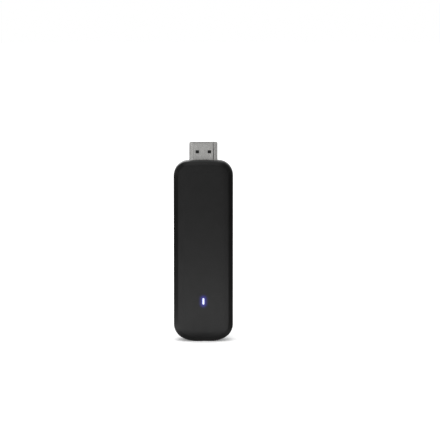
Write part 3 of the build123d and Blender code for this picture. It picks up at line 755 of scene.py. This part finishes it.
def add_chip_end(work, low, high, sign):
    """Plated end of one chip component, with the solder that holds it to the board."""
    size = high - low
    middle = (low + high) / 2
    along = 0 if size.x > size.z else 2
    across = 2 - along
    board_middle = sum(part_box("main_circuit_board"), Vector()).y / 2
    foot, outward = (low.y, 1) if low.y > board_middle else (high.y, -1)
    outlines = []
    for side in (low[across] - END_THICKNESS, high[across] + END_THICKNESS):
        outline = []
        for reach, height in end_profile(size[along], size.y):
            place = Vector()
            place[along] = middle[along] + sign * reach
            place[across] = side
            place.y = foot + outward * height
            outline.append(place)
        outlines.append(outline)
    add_rounded_prism(work, *outlines)


def chip_ends(name):
    """Plated ends and solder of all the chip components in a carried-over node."""

    def ends(work):
        for low, high in solid_boxes(name):
            for sign in (-1, 1):
                add_chip_end(work, low, high, sign)

    piece = add_object(f"{name}_ends", mesh_from(f"{name}_ends", ends))
    # The frame brings a plain metal under this name, so this isn't the one that shield_metal() makes
    piece.data.materials.append(bpy.data.materials["shield_metal"])
    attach(piece, "stick")


class StageShader(Nodes):
    """A node material for the stage, whose surface is the shader that finish is given."""

    def __init__(self, name):
        self.material = bpy.data.materials.new(name)
        self.material.use_nodes = True
        super().__init__(self.material.node_tree)
        self.tree.nodes.clear()
        self.place = self.add("ShaderNodeTexCoord").outputs["Object"]

    def height(self):
        return self.axes(self.place)[2]

    def away(self):
        """Distance from the middle of the base."""
        return self.length(self.place)

    def direction(self):
        """Angle round from the front, in degrees, with the right hand side positive."""
        across, back, _ = self.axes(self.place)
        forward = self.math("MULTIPLY", back, -1)
        return self.math("MULTIPLY", self.math("ARCTAN2", across, forward), math.degrees(1))

    def finish(self, shader):
        self.add("ShaderNodeOutputMaterial", {"Surface": shader.outputs[0]})
        return self.material


def seen_background(nodes):
    """1 for rays that show the background: the camera's, and those in reflections and glass."""
    rays = nodes.add("ShaderNodeLightPath").outputs
    seen = nodes.math("MAXIMUM", rays["Is Camera Ray"], rays["Is Glossy Ray"])
    return nodes.math("MAXIMUM", seen, rays["Is Transmission Ray"])


def disc_mesh(name, radius):
    def disc(work):
        bmesh.ops.create_circle(work, cap_ends=True, segments=ROUND_SEGMENTS, radius=radius)

    return mesh_from(name, disc)


def floor():
    """Plain pale floor that keeps the shadow and reads white round it."""
    shader = StageShader("pale_floor")
    lift = shader.math("MULTIPLY", seen_background(shader), shader.curve(shader.away(), FLOOR_LIFT))
    diffuse = shader.add("ShaderNodeBsdfDiffuse", {"Color": grey(FLOOR_COLOUR)})
    glow = shader.add("ShaderNodeEmission", {"Strength": lift})
    both = shader.add("ShaderNodeAddShader", {0: diffuse.outputs[0], 1: glow.outputs[0]})
    obj = add_object("floor", disc_mesh("floor", FLOOR_RADIUS))
    obj.data.materials.append(shader.finish(both))


def reflector(name, mesh, material):
    """Card round the object that shows in its reflections and nowhere else."""
    obj = add_object(name, mesh)
    obj.data.materials.append(material)
    obj.visible_camera = False
    obj.visible_diffuse = False
    obj.visible_shadow = False
    obj.visible_transmission = False
    return obj


def reflector_ring():
    """Ring of card that gives the reflections a light front and back, and dark sides."""
    shader = StageShader("reflector_card")
    narrowing = shader.curve(shader.height(), RING_NARROWING)
    by_angle = shader.curve(shader.math("MULTIPLY", shader.direction(), narrowing), RING_BY_ANGLE)
    by_height = shader.curve(shader.height(), RING_BY_HEIGHT)
    glow = shader.add("ShaderNodeEmission", {"Color": by_angle, "Strength": by_height})

    def band(work):
        sides = {"radius1": RING_RADIUS, "radius2": RING_RADIUS, "depth": RING_HEIGHT}
        bmesh.ops.create_cone(work, segments=ROUND_SEGMENTS, **sides)
        bmesh.ops.translate(work, verts=work.verts, vec=(0, 0, RING_HEIGHT / 2))

    reflector("reflector_ring", mesh_from("reflector_ring", band), shader.finish(glow))


def floor_mat():
    """Dark card on the floor, round the base and in its wings, and clear elsewhere."""
    shader = StageShader("floor_mat_card")
    cover = shader.curve(shader.away(), MAT_FADE)
    for direction, growth in MAT_WINGS:
        turn = shader.math("ABSOLUTE", shader.math("SUBTRACT", shader.direction(), direction))
        width = shader.curve(turn, MAT_WING_WIDTH)
        wing = shader.math("MULTIPLY", width, shader.curve(shader.away(), growth))
        cover = shader.math("MAXIMUM", cover, wing)
    clear = shader.add("ShaderNodeBsdfTransparent")
    dark = shader.add("ShaderNodeEmission", {"Strength": MAT_LEVEL})
    mix = shader.add("ShaderNodeMixShader", {0: cover, 1: clear.outputs[0], 2: dark.outputs[0]})
    obj = reflector("floor_mat", disc_mesh("floor_mat", RING_RADIUS), shader.finish(mix))
    obj.location.z = MAT_HEIGHT


def light_card(name, start, end, height_span, level):
    """Upright light card between two points of the floor plan, in millimetres."""
    shader = StageShader(name)
    glow = shader.add("ShaderNodeEmission", {"Strength": level})
    low, high = height_span

    def card(work):
        corners = ((*start, low), (*end, low), (*end, high), (*start, high))
        work.faces.new([work.verts.new(Vector(corner) * MM) for corner in corners])

    reflector(name, mesh_from(name, card), shader.finish(glow))


def area_light(name, place, size, level):
    """Square soft light aimed at the base, where it gives a white surface facing it this level."""
    lamp = bpy.data.lights.new(name, "AREA")
    lamp.size = size
    distance = Vector(place).length
    lamp.energy = level * math.pi**2 * distance**2
    obj = add_object(name, lamp)
    obj.location = place
    obj.rotation_mode = "QUATERNION"
    obj.rotation_quaternion = (-Vector(place)).to_track_quat("-Z", "Y")
    obj.visible_glossy = False


def studio():
    """World and lamps: an even room with a large light above and one in front."""
    world = bpy.data.worlds.new("studio")
    bpy.context.scene.world = world
    world.use_nodes = True
    nodes = Nodes(world.node_tree)
    background = nodes.tree.nodes["Background"].inputs
    nodes.put(background["Color"], grey(1.0))
    nodes.put(background["Strength"], nodes.ramp(seen_background(nodes), 0, 1, WORLD_LEVEL, 1))
    for lamp in LAMPS:
        area_light(*lamp)


def camera():
    """Camera at the photograph's viewing angle."""
    data = bpy.data.cameras.new("camera")
    data.sensor_width = SENSOR_MM
    data.lens = FOCAL_LENGTH_PX * SENSOR_MM / IMAGE_SIZE
    data.clip_start, data.clip_end = CLIP_RANGE
    obj = add_object("camera", data)
    back = Vector((0, -math.cos(CAMERA_PITCH), math.sin(CAMERA_PITCH)))
    obj.location = AIM + back * CAMERA_DISTANCE
    obj.rotation_euler = (math.pi / 2 - CAMERA_PITCH, 0, 0)
    bpy.context.scene.camera = obj


bpy.context.scene.view_settings.view_transform = "Standard"
camera()
floor()
reflector_ring()
floor_mat()
for card in LIGHT_CARDS:
    light_card(*card)
studio()
dress_nodes()
for component in CHIP_COMPONENTS:
    chip_ends(component)
